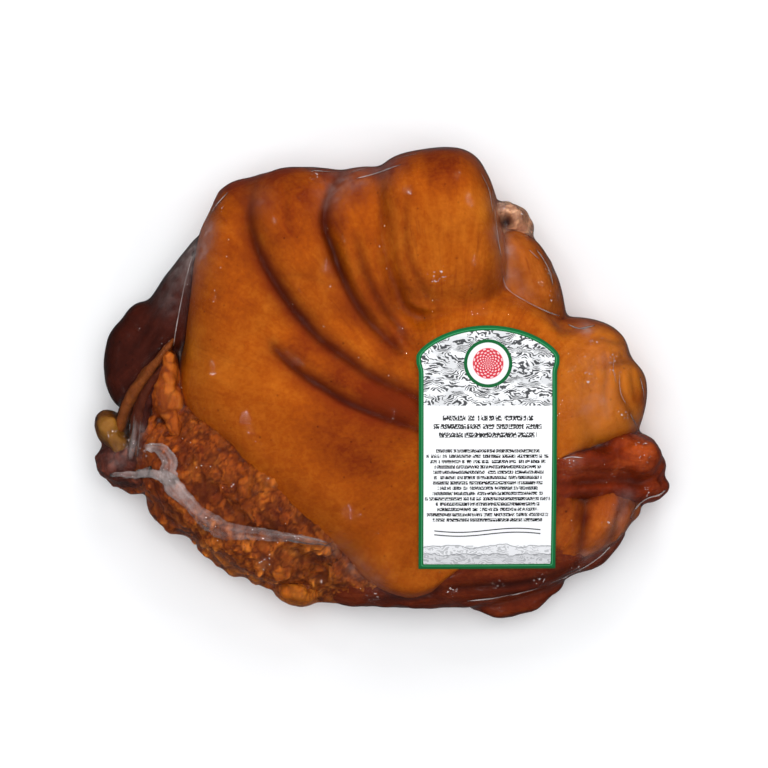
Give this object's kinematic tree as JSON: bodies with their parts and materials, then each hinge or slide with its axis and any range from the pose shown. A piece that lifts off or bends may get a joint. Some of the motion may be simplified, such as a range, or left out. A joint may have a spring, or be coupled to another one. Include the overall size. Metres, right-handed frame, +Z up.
{
  "type": "vacuum-packed smoked boneless pork hock",
  "caption": "Folded smoked boneless pork hock, rind side up, sealed tightly in clear film with an arched paper label, lying on its flat underside.",
  "frame": {"origin": "on the table, at the centre of the pack's footprint box", "axes": "+X to the pack's right along its longest side, +Y towards the far edge where the folds begin, +Z up out of the labelled side"},
  "size_m": [0.2068, 0.1692, 0.057],
  "materials": {
    "smoked_rind": "amber-brown smoked pork rind, smooth and moist under film, darker in its creases, with fine dark pores",
    "bare_meat": "smoked meat and fat bared beside the rind, lumpy and moist, red-brown to orange",
    "clear_film": "clear shrink film, glossy, whitish where it is pleated",
    "label_paper": "white coated paper printed green and grey, semi-gloss"
  },
  "bodies": {
    "root": {"packed_hock": "smoked_rind", "label": "label_paper"}
  },
  "joints": []
}
